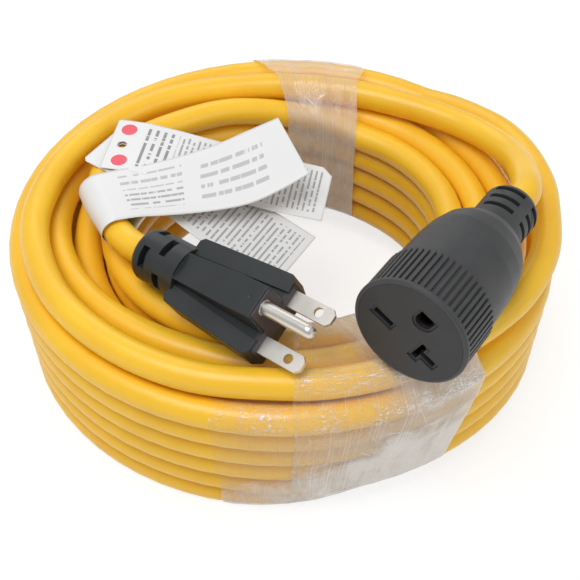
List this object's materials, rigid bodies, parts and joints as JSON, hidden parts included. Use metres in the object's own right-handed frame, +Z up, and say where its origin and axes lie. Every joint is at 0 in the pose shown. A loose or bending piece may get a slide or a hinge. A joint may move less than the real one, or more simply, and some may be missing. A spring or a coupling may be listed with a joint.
{
  "type": "coiled extension cord with plug and connector",
  "caption": "Heavy yellow three-core extension cord in a tight hand coil, with a moulded grounded plug and a round moulded connector lying on top, held by two film wraps.",
  "frame": {"origin": "on the surface the coil lies on, at the middle of the coil", "axes": "+Z up; +X to the connector's side; -Y to the side where the plug's blades and the connector's face point"},
  "size_m": [0.207, 0.2041, 0.1189],
  "materials": {
    "cord_jacket": "satin flexible jacket",
    "plug_moulding": "satin moulded",
    "bridge_moulding": "satin moulded",
    "plated_blade": "nickel plated, finely brushed",
    "wire_black": "smooth insulation",
    "wire_white": "smooth insulation",
    "wire_green": "smooth insulation",
    "bare_copper": "stranded copper",
    "connector_moulding": "satin moulded with grip ribs",
    "connector_face": "matte moulded",
    "contact_brass": "stamped brass",
    "stretch_film": "milky stretch film with wrinkles",
    "label_paper": "coated paper",
    "tag_paper": "coated paper"
  },
  "bodies": {
    "root": {"cord_coil": "cord_jacket", "cord_plug_end": "cord_jacket", "cord_connector_end": "cord_jacket", "plug_body": "plug_moulding", "plug_bridge": "bridge_moulding", "line_blade_1": "plated_blade", "line_blade_2": "plated_blade", "ground_pin": "plated_blade", "plug_wire_black": "wire_black", "plug_wire_white": "wire_white", "plug_wire_green": "wire_green", "plug_copper_ends": "bare_copper", "connector_body": "connector_moulding", "connector_insert": "connector_face", "contact_straight": "contact_brass", "contact_tee": "contact_brass", "contact_ground": "contact_brass", "connector_wire_black": "wire_black", "connector_wire_white": "wire_white", "connector_wire_green": "wire_green", "connector_copper_ends": "bare_copper", "film_wrap_front": "stretch_film", "film_wrap_back": "stretch_film", "cord_label": "label_paper", "safety_tag_dotted": "tag_paper", "safety_tag_plain": "tag_paper"}
  },
  "joints": []
}
